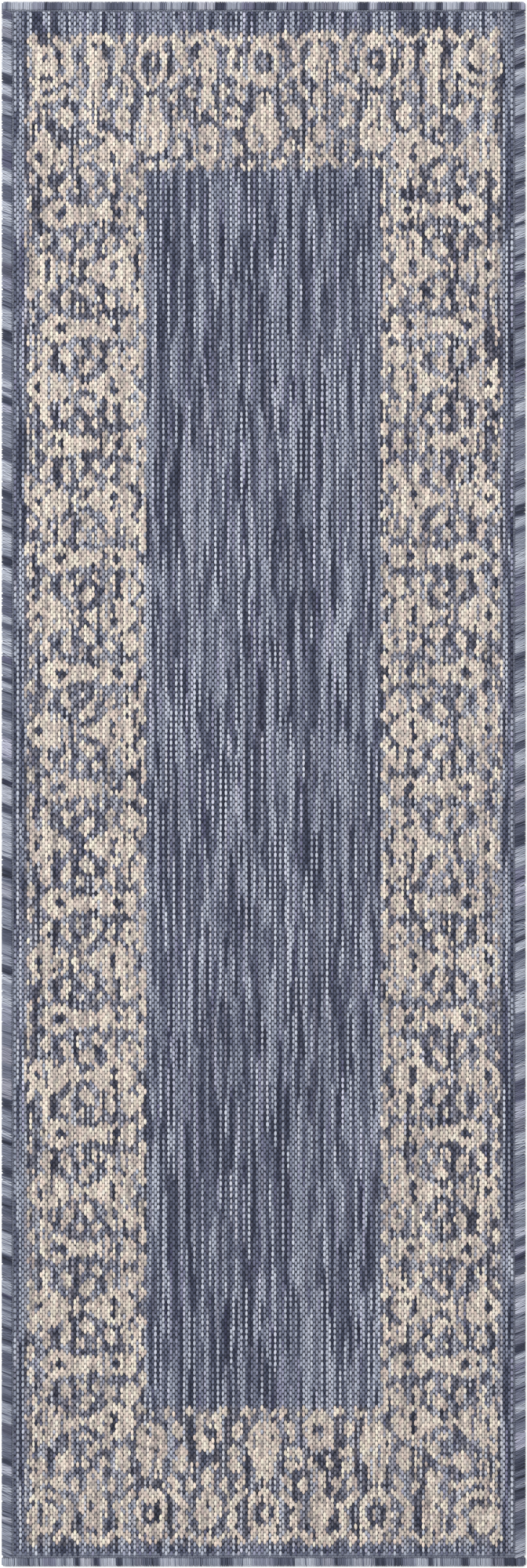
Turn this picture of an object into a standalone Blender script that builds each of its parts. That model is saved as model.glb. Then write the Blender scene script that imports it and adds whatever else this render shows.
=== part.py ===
"""Runner rug: a flat-woven ground with an overcast (serged) yarn edge on all four sides.

The rug lies on z = 0 with its length along Y, the head end towards +Y, and its
origin at the middle of its underside. Each edge is a run of thick yarn wrapped
round the ground's thinned edge strip, and a needle thread lies in the groove
beside it. The end runs were sewn last, so they cover the rug's full width and
the side runs stop against them.
"""
from math import cos, pi, sin

import bmesh
import bpy

# Overall size
RUG_WIDTH = 0.610
RUG_LENGTH = 1.822

# Woven ground
GROUND_THICKNESS = 0.0040
STRIP_UNDERSIDE = 0.0012  # height of the pinched edge strip's underside
STRIP_THICKNESS = 0.0018
PAD_CORNER_RADIUS = 0.0020  # of the full-thickness area inside the strip

# Serged edge bands
SIDE_BAND_WIDTH = 0.0130
END_BAND_WIDTH = 0.0105
YARN_OVER_EDGE = 0.0012  # yarn outside the ground's cut edge
YARN_OVER_TOP = 0.0014
CORNER_RADIUS = 0.0040  # of the rug's four corners in plan
BAND_ROUNDING = 0.0008

# Needle threads
THREAD_DIAMETER = 0.0009
THREAD_SIDES = 8

# Fits
GAP = 0.0003  # between pieces that touch

# Heights and places that follow from the sizes above
STRIP_TOP = STRIP_UNDERSIDE + STRIP_THICKNESS
SLOT_BOTTOM = STRIP_UNDERSIDE - GAP
SLOT_TOP = STRIP_TOP + GAP
BAND_TOP = SLOT_TOP + YARN_OVER_TOP
GROOVE_WIDTH = THREAD_DIAMETER + 2 * GAP
HALF_WIDTH = RUG_WIDTH / 2
HALF_LENGTH = RUG_LENGTH / 2
SIDE_BAND_EDGE = HALF_WIDTH - SIDE_BAND_WIDTH  # inner edge of a side band
END_BAND_EDGE = HALF_LENGTH - END_BAND_WIDTH
SIDE_BAND_END = END_BAND_EDGE - GROOVE_WIDTH  # where a side band stops, short of the end's thread
SLOT_RADIUS = CORNER_RADIUS - YARN_OVER_EDGE
ARC_STEPS = 6


def clear_scene():
    for thing in list(bpy.data.objects):
        bpy.data.objects.remove(thing, do_unlink=True)


def make_material(name, colour, roughness):
    material = bpy.data.materials.new(name)
    material.use_nodes = True
    shader = material.node_tree.nodes["Principled BSDF"]
    shader.inputs["Base Color"].default_value = (*colour, 1.0)
    shader.inputs["Roughness"].default_value = roughness
    shader.inputs["Metallic"].default_value = 0.0
    return material


def add_object(name, bm, material=None):
    bmesh.ops.recalc_face_normals(bm, faces=bm.faces)
    mesh = bpy.data.meshes.new(name)
    bm.to_mesh(mesh)
    bm.free()
    if material:
        mesh.materials.append(material)
    thing = bpy.data.objects.new(name, mesh)
    bpy.context.scene.collection.objects.link(thing)
    return thing


def rounded_rectangle(half_x, half_y, radius):
    """Outline points of a rectangle round the origin, each corner an arc of ARC_STEPS steps."""
    points = []
    for corner, (sx, sy) in enumerate(((1, 1), (-1, 1), (-1, -1), (1, -1))):
        for step in range(ARC_STEPS + 1):
            angle = (corner + step / ARC_STEPS) * pi / 2
            x = sx * (half_x - radius) + radius * cos(angle)
            y = sy * (half_y - radius) + radius * sin(angle)
            points.append((x, y))
    return points


def loft(outlines):
    """Closed body through a list of (outline, z), each with as many points as the next."""
    bm = bmesh.new()
    rings = [[bm.verts.new((x, y, z)) for x, y in outline] for outline, z in outlines]
    for lower, upper in zip(rings, rings[1:]):
        count = len(lower)
        for i in range(count):
            j = (i + 1) % count
            bm.faces.new((lower[i], lower[j], upper[j], upper[i]))
    bm.faces.new(rings[0])
    bm.faces.new(rings[-1])
    return bm


def make_ground(material):
    """Slab of full thickness with a thin strip all round it, which the serging grips."""
    strip = rounded_rectangle(HALF_WIDTH - YARN_OVER_EDGE - GAP, HALF_LENGTH - YARN_OVER_EDGE - GAP,
                              SLOT_RADIUS - GAP)
    underside = rounded_rectangle(SIDE_BAND_EDGE - GAP, END_BAND_EDGE - GAP, PAD_CORNER_RADIUS)
    face = rounded_rectangle(SIDE_BAND_EDGE - GROOVE_WIDTH, END_BAND_EDGE - GROOVE_WIDTH,
                             PAD_CORNER_RADIUS)
    bm = loft((
        (underside, 0.0),
        (underside, STRIP_UNDERSIDE),
        (strip, STRIP_UNDERSIDE),
        (strip, STRIP_TOP),
        (face, STRIP_TOP),
        (face, GROUND_THICKNESS),
    ))
    return add_object("woven_ground", bm, material)


def make_band(name, outline, slot_outline, material):
    """Band of the given outline with its long edges rounded, hollowed by the ground strip's slot."""
    band = add_object(name, loft(((outline, 0.0), (outline, BAND_TOP))), material)
    rounding = band.modifiers.new("yarn_rounding", "BEVEL")
    rounding.width = BAND_ROUNDING
    rounding.segments = 2
    rounding.limit_method = "ANGLE"
    rounding.angle_limit = pi / 3
    cutter = add_object(name + "_slot", loft(((slot_outline, SLOT_BOTTOM), (slot_outline, SLOT_TOP))))
    cutter.hide_render = True
    cutter.display_type = "WIRE"
    slot = band.modifiers.new("slot", "BOOLEAN")
    slot.operation = "DIFFERENCE"
    slot.solver = "EXACT"
    slot.object = cutter
    band.data.shade_smooth()
    band.data.set_sharp_from_angle(angle=pi / 5)
    return band


def make_side_band(name, side, material):
    inner = side * SIDE_BAND_EDGE
    outer = side * HALF_WIDTH
    slot_outer = side * (HALF_WIDTH - YARN_OVER_EDGE)
    slot_inner = side * (SIDE_BAND_EDGE - SIDE_BAND_WIDTH)
    outline = [(inner, -SIDE_BAND_END), (outer, -SIDE_BAND_END), (outer, SIDE_BAND_END),
               (inner, SIDE_BAND_END)]
    slot_outline = [(slot_inner, -HALF_LENGTH), (slot_outer, -HALF_LENGTH), (slot_outer, HALF_LENGTH),
                    (slot_inner, HALF_LENGTH)]
    return make_band(name, outline, slot_outline, material)


def end_outline(end, half_x, inner_y, outer_y, radius):
    """Outline across the rug with square inner corners and round outer ones."""
    points = [(-half_x, end * inner_y), (half_x, end * inner_y)]
    for side in (1, -1):
        for step in range(ARC_STEPS + 1):
            angle = step / ARC_STEPS * pi / 2
            if side < 0:
                angle = pi / 2 - angle
            x = side * (half_x - radius + radius * cos(angle))
            y = end * (outer_y - radius + radius * sin(angle))
            points.append((x, y))
    return points


def make_end_band(name, end, material):
    outline = end_outline(end, HALF_WIDTH, END_BAND_EDGE, HALF_LENGTH, CORNER_RADIUS)
    slot_outline = end_outline(end, HALF_WIDTH - YARN_OVER_EDGE, END_BAND_EDGE - END_BAND_WIDTH,
                               HALF_LENGTH - YARN_OVER_EDGE, SLOT_RADIUS)
    return make_band(name, outline, slot_outline, material)


def make_thread(name, start, end, material):
    """Straight round thread between two points, both on the ground strip's groove."""
    curve = bpy.data.curves.new(name, "CURVE")
    curve.dimensions = "3D"
    curve.bevel_depth = THREAD_DIAMETER / 2
    curve.bevel_resolution = THREAD_SIDES // 4
    curve.use_fill_caps = True
    spline = curve.splines.new("POLY")
    spline.points.add(1)
    spline.points[0].co = (*start, 1.0)
    spline.points[1].co = (*end, 1.0)
    curve.materials.append(material)
    thing = bpy.data.objects.new(name, curve)
    bpy.context.scene.collection.objects.link(thing)
    return thing


def main():
    clear_scene()
    ground_yarn = make_material("woven_yarn", (0.20, 0.24, 0.34), 0.85)
    serging_yarn = make_material("serging_yarn", (0.26, 0.30, 0.41), 0.75)
    sewing_thread = make_material("sewing_thread", (0.05, 0.06, 0.10), 0.70)

    make_ground(ground_yarn)
    thread_z = STRIP_TOP + GAP + THREAD_DIAMETER / 2
    thread_x = SIDE_BAND_EDGE - GAP - THREAD_DIAMETER / 2
    thread_y = END_BAND_EDGE - GAP - THREAD_DIAMETER / 2
    side_thread_end = END_BAND_EDGE - GROOVE_WIDTH - GAP
    end_thread_end = HALF_WIDTH - YARN_OVER_EDGE - GAP
    for side, word in ((-1, "left"), (1, "right")):
        make_side_band("side_serging_" + word, side, serging_yarn)
        make_thread("seam_thread_" + word, (side * thread_x, -side_thread_end, thread_z),
                    (side * thread_x, side_thread_end, thread_z), sewing_thread)
    for end, word in ((1, "head"), (-1, "foot")):
        make_end_band("end_serging_" + word, end, serging_yarn)
        make_thread("seam_thread_" + word, (-end_thread_end, end * thread_y, thread_z),
                    (end_thread_end, end * thread_y, thread_z), sewing_thread)


main()
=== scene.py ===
from math import pi, radians, tan

import bpy
import numpy as np
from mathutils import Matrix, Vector


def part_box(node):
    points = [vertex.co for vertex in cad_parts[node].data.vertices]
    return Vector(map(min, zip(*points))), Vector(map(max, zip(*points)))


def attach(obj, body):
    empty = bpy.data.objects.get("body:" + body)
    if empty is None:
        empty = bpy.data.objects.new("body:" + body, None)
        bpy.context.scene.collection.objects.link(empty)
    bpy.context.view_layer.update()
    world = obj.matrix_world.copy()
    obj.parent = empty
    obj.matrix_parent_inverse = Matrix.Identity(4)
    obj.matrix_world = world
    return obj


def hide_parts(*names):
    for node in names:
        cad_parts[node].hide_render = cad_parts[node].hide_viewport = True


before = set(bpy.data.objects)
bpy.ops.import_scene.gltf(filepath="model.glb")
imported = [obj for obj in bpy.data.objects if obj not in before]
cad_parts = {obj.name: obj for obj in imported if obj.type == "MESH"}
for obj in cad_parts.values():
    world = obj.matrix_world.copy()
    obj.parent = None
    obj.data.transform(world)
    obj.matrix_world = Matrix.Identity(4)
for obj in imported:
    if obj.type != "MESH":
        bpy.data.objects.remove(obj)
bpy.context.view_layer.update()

# ---------------------------------------------------------------------------------------------
# Weft: dark navy picks of twisted polypropylene, beaten up tight right across the rug. They show
# only as small dark gaps between the warp floats. Past the face they are pinched thin, where the
# serging grips them.
# ---------------------------------------------------------------------------------------------

MM = 0.001
PICKS_PER_FLOAT = 2
FLOATS_PER_END = 261  # floats along one warp end, from the head's seam to the foot's
EDGE_YARN = 1.6 * MM  # serging outside the last pick and outside the pick ends
GROOVE = 1.5 * MM  # from a band's inner edge to the face, with the needle thread in it
PICK_HALF_HEIGHT = 1.15 * MM
PINCHED_HALF_HEIGHT = 0.75 * MM
PINCH_RUN = 0.6 * MM  # from the edge of the face to where a pick is down to its pinched height
PICK_FULLNESS = 0.54  # half a pick's width, of the pitch, so packed picks just touch
PICK_DROP = 0.1 * MM  # of the picks below the middle of the cloth
PICK_WANDER = 0.12 * MM
PICK_SIDES = 8
PICK_STEPS = 14
PICK_TONE = 0.10
# tone of the picks painted paler beside the bands, as painted light on the groove's shade
GROOVE_LIGHT_TONE = 0.56
PICK_TONE_RANGE = 0.10
PICK_DEPTH = 0.45  # how lit a pick is, deep in the weave

ground_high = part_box("woven_ground")[1]
left_band_low, left_band_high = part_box("side_serging_left")
head_band_low, head_band_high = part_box("end_serging_head")
HALF_WIDTH = head_band_high[0]
HALF_LENGTH = head_band_high[1]
SIDE_BAND_WIDTH = left_band_high[0] - left_band_low[0]
END_BAND_WIDTH = head_band_high[1] - head_band_low[1]
FACE_HALF_WIDTH = HALF_WIDTH - SIDE_BAND_WIDTH - GROOVE
FACE_HALF_LENGTH = HALF_LENGTH - END_BAND_WIDTH - GROOVE
FACE_TOP = ground_high[2]
FLOAT_PITCH = 2 * FACE_HALF_LENGTH / FLOATS_PER_END
PICK_PITCH = FLOAT_PITCH / PICKS_PER_FLOAT
PICK_MIDDLE = 0.5 * FACE_TOP


def yarn_mesh(name, material, points, faces, yarn, bake_map):
    """Object of one mesh. faces are rows of corner numbers, yarn is each point's yarn record (share of
    cream, dye tone, height in the weave that sets its painted shade, accent), and bake_map its place on
    the flat colour sheet."""
    points = points.reshape(-1, 3)
    bake_map = bake_map.reshape(-1, 2)
    mesh = bpy.data.meshes.new(name)
    corners = np.concatenate([rows.ravel() for rows in faces]).astype(np.int32)
    counts = np.concatenate([np.full(len(rows), rows.shape[1]) for rows in faces])
    starts = np.concatenate([[0], np.cumsum(counts)[:-1]]).astype(np.int32)
    mesh.vertices.add(len(points))
    mesh.vertices.foreach_set("co", points.astype(np.float32).ravel())
    mesh.loops.add(len(corners))
    mesh.loops.foreach_set("vertex_index", corners)
    mesh.polygons.add(len(counts))
    mesh.polygons.foreach_set("loop_start", starts)
    mesh.polygons.foreach_set("use_smooth", np.ones(len(counts), bool))
    mesh.update(calc_edges=True)
    record = mesh.color_attributes.new("yarn", "FLOAT_COLOR", "POINT")
    record.data.foreach_set("color", yarn.astype(np.float32).ravel())
    sheet = mesh.uv_layers.new(name="OFBake")
    sheet.uv.foreach_set("vector", bake_map[corners].astype(np.float32).ravel())
    mesh.materials.append(material)
    piece = bpy.data.objects.new(name, mesh)
    bpy.context.scene.collection.objects.link(piece)
    return piece


def folded_map(along, across, folds, turn_of):
    """Places of a long strip on a square sheet, cut into lengths that lie side by side. along and
    across run from 0 to 1, and turn_of says which length each point's yarn is in."""
    side_margin = 0.03
    end_margin = 0.01
    u = (turn_of + side_margin + (1 - 2 * side_margin) * across) / folds
    v = end_margin + (1 - 2 * end_margin) * np.clip(along * folds - turn_of, 0, 1)
    return np.stack([u, v], axis=-1)


def tube_faces(tubes, rings, sides):
    """Wall quads and end caps of closed tubes whose points run tube by tube, ring by ring."""
    tube, ring, side = np.meshgrid(
        np.arange(tubes), np.arange(rings - 1), np.arange(sides), indexing="ij"
    )
    first = (tube * rings + ring) * sides + side
    beside = (tube * rings + ring) * sides + (side + 1) % sides
    walls = np.stack([first, beside, beside + sides, first + sides], axis=-1).reshape(-1, 4)
    start = np.arange(tubes)[:, None] * rings * sides
    near_caps = start + np.arange(sides)[::-1]
    far_caps = start + (rings - 1) * sides + np.arange(sides)
    return [walls, near_caps, far_caps]


weft_luck = np.random.default_rng(11)
pick_reach = HALF_LENGTH - EDGE_YARN
pick_count = int(2 * pick_reach / PICK_PITCH)
pick_y = (np.arange(pick_count) - (pick_count - 1) / 2) * PICK_PITCH
pick_end = HALF_WIDTH - EDGE_YARN
pinched_from = FACE_HALF_WIDTH + PINCH_RUN
pick_x = np.concatenate([
    [-pick_end, -pinched_from],
    np.linspace(-FACE_HALF_WIDTH, FACE_HALF_WIDTH, PICK_STEPS - 1),
    [pinched_from, pick_end],
])
on_face = (np.abs(pick_x)[None, :] <= FACE_HALF_WIDTH) & (np.abs(pick_y)[:, None] < FACE_HALF_LENGTH)
pick_half_height = np.where(on_face, PICK_HALF_HEIGHT, PINCHED_HALF_HEIGHT)
wander = weft_luck.normal(0, PICK_WANDER, (pick_count, len(pick_x), 2)) * on_face[..., None]
turn = (np.arange(PICK_SIDES) + 0.5) / PICK_SIDES * 2 * pi
pick_middle_y = pick_y[:, None] + wander[..., 0]
pick_middle_z = PICK_MIDDLE + wander[..., 1] - PICK_DROP
pick_points = np.zeros((pick_count, len(pick_x), PICK_SIDES, 3))
pick_points[..., 0] = pick_x[None, :, None]
pick_points[..., 1] = pick_middle_y[..., None] + PICK_FULLNESS * PICK_PITCH * np.cos(turn)
pick_points[..., 2] = pick_middle_z[..., None] + pick_half_height[..., None] * np.sin(turn)
# Painted light: the picks are paler on the pinched strips and right at the foot, against the groove's
# shade.
painted_groove_light = ~on_face | (pick_y[:, None] < 0.6 * FLOAT_PITCH - FACE_HALF_LENGTH)
pick_tone = np.where(painted_groove_light, GROOVE_LIGHT_TONE, PICK_TONE)
pick_tone = pick_tone + PICK_TONE_RANGE * weft_luck.random((pick_count, len(pick_x)))
pick_yarn = np.zeros(pick_points.shape[:3] + (4,))
pick_yarn[..., 1] = pick_tone[..., None]
pick_yarn[..., 2] = PICK_DEPTH
pick_yarn[..., 3] = 0.5
# On the bake sheet the picks' tops fill half of each length's width and their undersides the rest.
pick_along = (pick_points[..., 1] + HALF_LENGTH) / (2 * HALF_LENGTH)
pick_across = 0.02 + 0.46 * (pick_points[..., 0] + HALF_WIDTH) / (2 * HALF_WIDTH)
pick_across = np.where(np.sin(turn) > 0, pick_across, 1 - pick_across)
pick_turn = (np.arange(pick_count) * 2 // pick_count)[:, None, None]
pick_turn = np.broadcast_to(pick_turn, pick_along.shape)
pick_map = folded_map(pick_along, pick_across, 2, pick_turn)


def add_sockets(group, wanted_in, wanted_out):
    """Names and kinds of a node group's inputs and outputs, each input with its usual value."""
    for name, kind, usual in wanted_in:
        socket = group.interface.new_socket(name, in_out="INPUT", socket_type="NodeSocket" + kind)
        if usual is not None:
            socket.default_value = usual
    for name, kind in wanted_out:
        group.interface.new_socket(name, in_out="OUTPUT", socket_type="NodeSocket" + kind)
    return group.nodes.new("NodeGroupInput"), group.nodes.new("NodeGroupOutput")


def colour_stops(ramp, stops):
    """Sets a colour ramp's stops, given as (place, (red, green, blue) out of 255)."""
    while len(ramp.elements) > 1:
        ramp.elements.remove(ramp.elements[-1])
    for number, (place, colour) in enumerate(stops):
        stop = ramp.elements[0] if number == 0 else ramp.elements.new(place)
        stop.position = place
        stop.color = (*(((c / 255 + 0.055) / 1.055) ** 2.4 if c > 10 else c / 3295 for c in colour), 1.0)


def new_node(nodes, kind, settings=None, values=None):
    """A node of a kind, with its settings and the values of some of its inputs."""
    node = nodes.new("ShaderNode" + kind)
    for name, setting in (settings or {}).items():
        setattr(node, name, setting)
    for name, value in (values or {}).items():
        node.inputs[name].default_value = value
    return node


def make_spun_fibre():
    """Group: fine fibres drawn out along a yarn, with the slant of its twist. Height is for bump, and
    Fibre is a light and dark mask for colour and roughness."""
    group = bpy.data.node_groups.new("spun_fibre", "ShaderNodeTree")
    given, result = add_sockets(
        group,
        [("Vector", "Vector", None), ("Fineness", "Float", 1.0), ("Twist", "Float", 0.5)],
        [("Height", "Float"), ("Fibre", "Float")],
    )
    nodes, links = group.nodes, group.links
    scaled = new_node(nodes, "VectorMath", {"operation": "SCALE"})
    links.new(given.outputs["Vector"], scaled.inputs[0])
    links.new(given.outputs["Fineness"], scaled.inputs["Scale"])
    fibres = new_node(nodes, "TexNoise", values={"Scale": 1.0, "Detail": 3.0, "Roughness": 0.6})
    links.new(scaled.outputs[0], fibres.inputs["Vector"])
    twist = new_node(
        nodes, "TexWave", {"wave_type": "BANDS", "bands_direction": "DIAGONAL"},
        {"Scale": 0.32, "Distortion": 1.6, "Detail": 1.0},
    )
    links.new(scaled.outputs[0], twist.inputs["Vector"])
    both = new_node(nodes, "Mix", {"data_type": "FLOAT"})
    links.new(given.outputs["Twist"], both.inputs["Factor"])
    links.new(fibres.outputs["Fac"], both.inputs["A"])
    links.new(twist.outputs["Fac"], both.inputs["B"])
    links.new(both.outputs["Result"], result.inputs["Height"])
    contrast = new_node(nodes, "MapRange", values={"From Min": 0.3, "From Max": 0.7})
    links.new(both.outputs["Result"], contrast.inputs["Value"])
    links.new(contrast.outputs["Result"], result.inputs["Fibre"])
    return group


def make_blue_dye():
    """Group: the blue yarn's colour. Tone 0 is the darkest navy and 1 the palest grey blue, and Accent
    leans it to lilac near 1 and to plum near 0, as the dye lots differ."""
    group = bpy.data.node_groups.new("blue_dye", "ShaderNodeTree")
    given, result = add_sockets(
        group,
        [("Tone", "Float", 0.5), ("Accent", "Float", 0.5)],
        [("Color", "Color")],
    )
    nodes, links = group.nodes, group.links
    bath = new_node(nodes, "ValToRGB")
    colour_stops(bath.color_ramp, (
        (0.00, (24, 27, 42)),
        (0.25, (53, 58, 77)),
        (0.50, (98, 103, 123)),
        (0.75, (143, 149, 165)),
        (1.00, (184, 189, 202)),
    ))
    links.new(given.outputs["Tone"], bath.inputs["Fac"])
    dyed = bath.outputs["Color"]
    # Each leaning: the accents it runs over, its most, and its colour.
    for none_at, most_at, most, leaning in (
        (0.80, 1.00, 0.18, (0.75, 0.45, 0.85, 1.0)),
        (0.20, 0.00, 0.25, (0.62, 0.42, 0.38, 1.0)),
    ):
        amount = new_node(
            nodes, "MapRange", values={"From Min": none_at, "From Max": most_at, "To Max": most}
        )
        links.new(given.outputs["Accent"], amount.inputs["Value"])
        leant = new_node(
            nodes, "Mix", {"data_type": "RGBA", "blend_type": "SOFT_LIGHT"}, {"B": leaning}
        )
        links.new(amount.outputs["Result"], leant.inputs["Factor"])
        links.new(dyed, leant.inputs["A"])
        dyed = leant.outputs["Result"]
    links.new(dyed, result.inputs["Color"])
    return group


def make_weave_shade():
    """Group: painted shade, which darkens yarn where it dives into the weave, so its crowns show
    lighter.
    Depth is 0 down in the weave and 1 on the crown."""
    group = bpy.data.node_groups.new("weave_shade", "ShaderNodeTree")
    given, result = add_sockets(
        group,
        [
            ("Color", "Color", None),
            ("Depth", "Float", 1.0),
            ("Fibre", "Float", 0.5),
            ("Deepest", "Float", 0.4),
        ],
        [("Color", "Color"), ("Rubbed", "Float")],
    )
    nodes, links = group.nodes, group.links
    # Painted shade: the colour is scaled from Deepest down in the weave up to full on the crown.
    shade = new_node(nodes, "MapRange")
    links.new(given.outputs["Depth"], shade.inputs["Value"])
    links.new(given.outputs["Deepest"], shade.inputs["To Min"])
    fleck = new_node(nodes, "MapRange", values={"To Min": 0.84, "To Max": 1.06})
    links.new(given.outputs["Fibre"], fleck.inputs["Value"])
    amount = new_node(nodes, "Math", {"operation": "MULTIPLY"})
    links.new(shade.outputs["Result"], amount.inputs[0])
    links.new(fleck.outputs["Result"], amount.inputs[1])
    shaded = new_node(nodes, "VectorMath", {"operation": "SCALE"})
    links.new(given.outputs["Color"], shaded.inputs[0])
    links.new(amount.outputs[0], shaded.inputs["Scale"])
    links.new(shaded.outputs[0], result.inputs["Color"])
    rubbed = new_node(nodes, "Math", {"operation": "MULTIPLY"})
    links.new(given.outputs["Depth"], rubbed.inputs[0])
    links.new(given.outputs["Fibre"], rubbed.inputs[1])
    links.new(rubbed.outputs[0], result.inputs["Rubbed"])
    return group


spun_fibre = make_spun_fibre()
blue_dye = make_blue_dye()
weave_shade = make_weave_shade()


def yarn_material(name, stretch, twist, deepest, gloss, bump, bump_depth, fineness=1.0, cream=None):
    """Yarn material. stretch draws the fibres out along the yarn, deepest is how dark its painted shade
    gets down in the weave, gloss is the (rubbed, deep) roughness, and cream is the second yarn's colour
    stops where two yarns swap places. Accent leans that yarn to pink near 0 and to green near 1."""
    material = bpy.data.materials.new(name)
    material.use_nodes = True
    nodes, links = material.node_tree.nodes, material.node_tree.links
    shader = nodes["Principled BSDF"]
    shader.inputs["Specular IOR Level"].default_value = 0.16
    shader.inputs["Sheen Weight"].default_value = 0.05
    shader.inputs["Sheen Roughness"].default_value = 0.55
    record = new_node(nodes, "Attribute", {"attribute_name": "yarn"})
    parts = new_node(nodes, "SeparateColor")
    links.new(record.outputs["Color"], parts.inputs["Color"])
    place = new_node(nodes, "TexCoord")
    drawn = new_node(nodes, "Mapping", values={"Scale": stretch})
    links.new(place.outputs["Object"], drawn.inputs["Vector"])
    fibre = new_node(nodes, "Group", {"node_tree": spun_fibre}, {"Fineness": fineness, "Twist": twist})
    links.new(drawn.outputs["Vector"], fibre.inputs["Vector"])
    dye = new_node(nodes, "Group", {"node_tree": blue_dye})
    links.new(parts.outputs["Green"], dye.inputs["Tone"])
    links.new(record.outputs["Alpha"], dye.inputs["Accent"])
    colour = dye.outputs["Color"]
    if cream:
        bleached = new_node(nodes, "ValToRGB")
        colour_stops(bleached.color_ramp, cream)
        links.new(parts.outputs["Green"], bleached.inputs["Fac"])
        tint = new_node(nodes, "ValToRGB")
        colour_stops(tint.color_ramp, (
            (0.0, (255, 248, 250)),
            (0.5, (255, 255, 255)),
            (1.0, (249, 254, 250)),
        ))
        links.new(record.outputs["Alpha"], tint.inputs["Fac"])
        tinted = new_node(nodes, "VectorMath", {"operation": "MULTIPLY"})
        links.new(bleached.outputs["Color"], tinted.inputs[0])
        links.new(tint.outputs["Color"], tinted.inputs[1])
        swap = new_node(nodes, "Mix", {"data_type": "RGBA"})
        links.new(parts.outputs["Red"], swap.inputs["Factor"])
        links.new(dye.outputs["Color"], swap.inputs["A"])
        links.new(tinted.outputs["Vector"], swap.inputs["B"])
        colour = swap.outputs["Result"]
    # Painted shade from the record's depth: the yarn's colour darkens towards deepest down in the weave.
    shade = new_node(nodes, "Group", {"node_tree": weave_shade}, {"Deepest": deepest})
    links.new(colour, shade.inputs["Color"])
    links.new(parts.outputs["Blue"], shade.inputs["Depth"])
    links.new(fibre.outputs["Fibre"], shade.inputs["Fibre"])
    links.new(shade.outputs["Color"], shader.inputs["Base Color"])
    rough = new_node(nodes, "MapRange", values={"To Min": gloss[1], "To Max": gloss[0]})
    links.new(shade.outputs["Rubbed"], rough.inputs["Value"])
    links.new(rough.outputs["Result"], shader.inputs["Roughness"])
    raised = new_node(nodes, "Bump", values={"Strength": bump, "Distance": bump_depth})
    links.new(fibre.outputs["Height"], raised.inputs["Height"])
    links.new(raised.outputs["Normal"], shader.inputs["Normal"])
    return material


weft_material = yarn_material(
    "navy_weft_yarn", stretch=(350, 1600, 1600), twist=0.4, deepest=0.5,
    gloss=(0.62, 0.85), bump=0.6, bump_depth=0.15 * MM,
)
pick_faces = tube_faces(pick_count, len(pick_x), PICK_SIDES)
weft_picks = yarn_mesh("weft_picks", weft_material, pick_points, pick_faces, pick_yarn, pick_map)
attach(weft_picks, "root")
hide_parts("woven_ground")

# ---------------------------------------------------------------------------------------------
# Warp: 192 thick ends of soft spun yarn run the rug's length. Each passes over two picks and
# under two, half a float out of step with its neighbours. Blue and cream yarns swap between face
# and back, and that draws the flower border. The blue is space dyed, so it falls into long streaks.
# ---------------------------------------------------------------------------------------------

WARP_ENDS = 192
SECTION_ENDS = 24
BLUE_WIDTH = 0.97  # of the pitch between ends
CREAM_WIDTH = 1.12  # a bulkier yarn, so its floats press into their neighbours
FLOAT_BASE = FACE_TOP - 0.75 * MM
FLOAT_HEIGHT = 1.0 * MM
BACK_BASE = 0.95 * MM
BACK_HEIGHT = 0.88 * MM

BORDER_FROM_SIDE = 29.1  # millimetres, as are all the border's sizes
BORDER_WIDTH = 140.0
BORDER_FROM_HEAD = 37.2
BORDER_FROM_FOOT = 27.6
END_BORDER_DEPTH = 157.5
SIDE_REPEAT = 134.2
END_REPEAT = 130.9
CORNER_WIDTH = 127.0
CORNER_DEPTH = 121.0
SIDE_FULL_FROM = 150.0  # the depth past which the side border has its whole width
CORNER_COLUMN = 78.5  # middle of the corner's palmette column, from the border's side
CORNER_COLUMN_HALF = 19.0
CORNER_COLUMN_TOP = 99.0
CORNER_FLOWER = 145.5  # middle of the end flower beside the corner, from the border's side
CORNER_FLOWER_EDGE = 82.0  # that flower fills the corner from here, and as deep as its top
CORNER_FLOWER_TOP = 86.0
HEAD_SKEW = 5.5  # how much higher than its middle the head's border sits at the right end
OVAL_SPREAD = 1.5  # a float that only just misses a drawn shape still takes its colour
HOLE_SPREAD = -0.6
STROKE_SPREAD = 1.1


def oval(p, q, p0, q0, half_p, half_q, lean=0, spread=OVAL_SPREAD):
    """Floats inside an oval, whose long way leans by so many degrees towards +p as q grows."""
    c, s = np.cos(radians(lean)), np.sin(radians(lean))
    dp, dq = p - p0, q - q0
    return np.hypot((dp * c - dq * s) / (half_p + spread), (dp * s + dq * c) / (half_q + spread)) < 1


def ovals(p, q, *each):
    """Floats inside any of several ovals."""
    found = np.zeros(p.shape, bool)
    for sizes in each:
        found |= oval(p, q, *sizes)
    return found


def ring(p, q, p0, q0, half_p, half_q, thick):
    """Floats on an oval ring of that thickness."""
    hole = oval(p, q, p0, q0, half_p - thick, half_q - thick, spread=HOLE_SPREAD)
    return oval(p, q, p0, q0, half_p, half_q) & ~hole


def stroke(p, q, width, *stops):
    """Floats along a bent stem."""
    nearest = np.full(p.shape, np.inf)
    for (p0, q0), (p1, q1) in zip(stops, stops[1:]):
        dp, dq = p1 - p0, q1 - q0
        part = np.clip(((p - p0) * dp + (q - q0) * dq) / (dp * dp + dq * dq), 0, 1)
        nearest = np.minimum(nearest, np.hypot(p - p0 - part * dp, q - q0 - part * dq))
    return nearest < width / 2 + STROKE_SPREAD


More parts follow.
